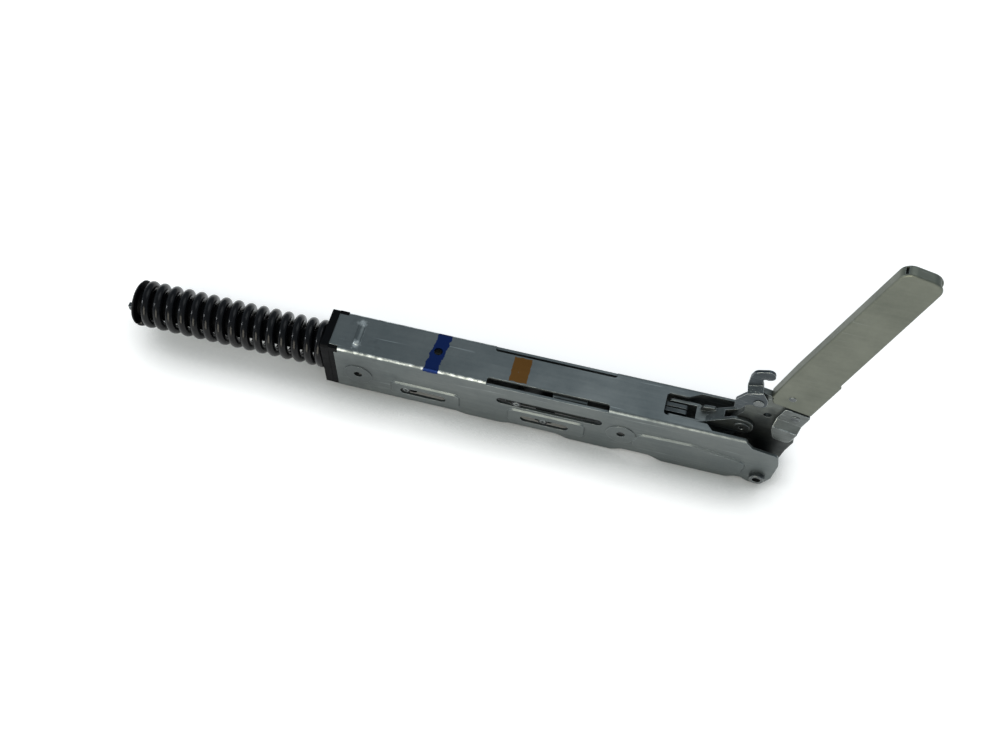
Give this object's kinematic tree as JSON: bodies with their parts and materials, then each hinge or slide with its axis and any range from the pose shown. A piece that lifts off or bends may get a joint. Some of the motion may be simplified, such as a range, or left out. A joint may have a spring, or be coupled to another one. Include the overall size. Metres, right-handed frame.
{
  "type": "oven door hinge",
  "caption": "Oven door hinge: folded steel housing, black compression spring on a pull rod, lever arm with folded sleeve, link and locking catch",
  "frame": {"origin": "On the outer face of the housing's web, on its middle line, midway between the two screw holes of a flange", "axes": "X along the housing from the spring end to the pivot end, Y across it, Z out of the web, on the side that the arm stands up from"},
  "size_m": [0.3258, 0.0244, 0.1549],
  "materials": {
    "galvanised_steel": "Zinc coated folded sheet, dull, slightly mottled, with fine scratches along it",
    "bright_pins": "Turned and headed steel, brighter than the sheet",
    "lever_steel": "Thick pressed steel plate with sheared edges, dull",
    "sleeve_steel": "Thin zinc coated sheet with a bright fold",
    "inner_steel": "Sheet and bar inside the housing, slightly oily",
    "spring_black": "Spring wire with glossy black coating",
    "moulded_black": "Black moulded plastic with a fine grain",
    "roller_grey": "Grey moulded plastic",
    "damper_metal": "Drawn tube, satin"
  },
  "bodies": {
    "housing": {"housing": "galvanised_steel", "end_guide": "moulded_black", "pivot_rivet": "bright_pins", "pivot_bushes": "roller_grey", "main_spring": "spring_black"},
    "rod": {"spring_cap": "moulded_black", "pull_rod": "inner_steel", "draw_bar": "inner_steel", "slide_carriage": "inner_steel", "rod_pin": "bright_pins", "rod_rollers": "roller_grey"},
    "damper_rear": {"damper_cylinder": "damper_metal", "rear_collar": "moulded_black", "rear_pins": "bright_pins", "rear_rollers": "roller_grey"},
    "damper_front": {"damper_rod": "bright_pins", "front_block": "moulded_black", "front_pin": "bright_pins", "front_rollers": "roller_grey"},
    "arm": {"arm_core": "lever_steel", "arm_sleeve": "sleeve_steel", "guide_plates": "galvanised_steel", "guide_rivet": "bright_pins", "sleeve_rivet": "bright_pins", "link_rivet": "bright_pins", "catch_rivet": "bright_pins"},
    "link": {"link": "galvanised_steel", "link_pin": "bright_pins"},
    "catch": {"locking_catch": "lever_steel"}
  },
  "joints": [
    {"name": "arm_hinge", "type": "hinge", "parent": "housing", "child": "arm", "pos_m": [0.12055, 0, -0.0265], "axis": [0, 1, 0], "range_deg": [-14, 76]},
    {"name": "rod_slide", "type": "slide", "parent": "housing", "child": "rod", "axis": [1, 0, 0], "range_m": [-0.0067, 0.0357], "deforming": ["main_spring"]},
    {"name": "link_pivot", "type": "hinge", "parent": "arm", "child": "link", "pos_m": [0.108, 0, 0.00044], "axis": [0, 1, 0], "range_deg": [-68.5, 12.7]},
    {"name": "catch_hinge", "type": "hinge", "parent": "arm", "child": "catch", "pos_m": [0.11118, 0, 0.02273], "axis": [0, 1, 0], "range_deg": [-55, 3]},
    {"name": "damper_rear_slide", "type": "slide", "parent": "housing", "child": "damper_rear", "axis": [1, 0, 0], "range_m": [0, 0.016]},
    {"name": "damper_front_slide", "type": "slide", "parent": "housing", "child": "damper_front", "axis": [1, 0, 0], "range_m": [-0.0077, 0.0092]}
  ],
  "couplings": [
    {"joint": "rod_slide", "follows": "arm_hinge", "m_per_rad": 0.026814},
    {"joint": "link_pivot", "follows": "arm_hinge", "ratio": -0.9}
  ]
}
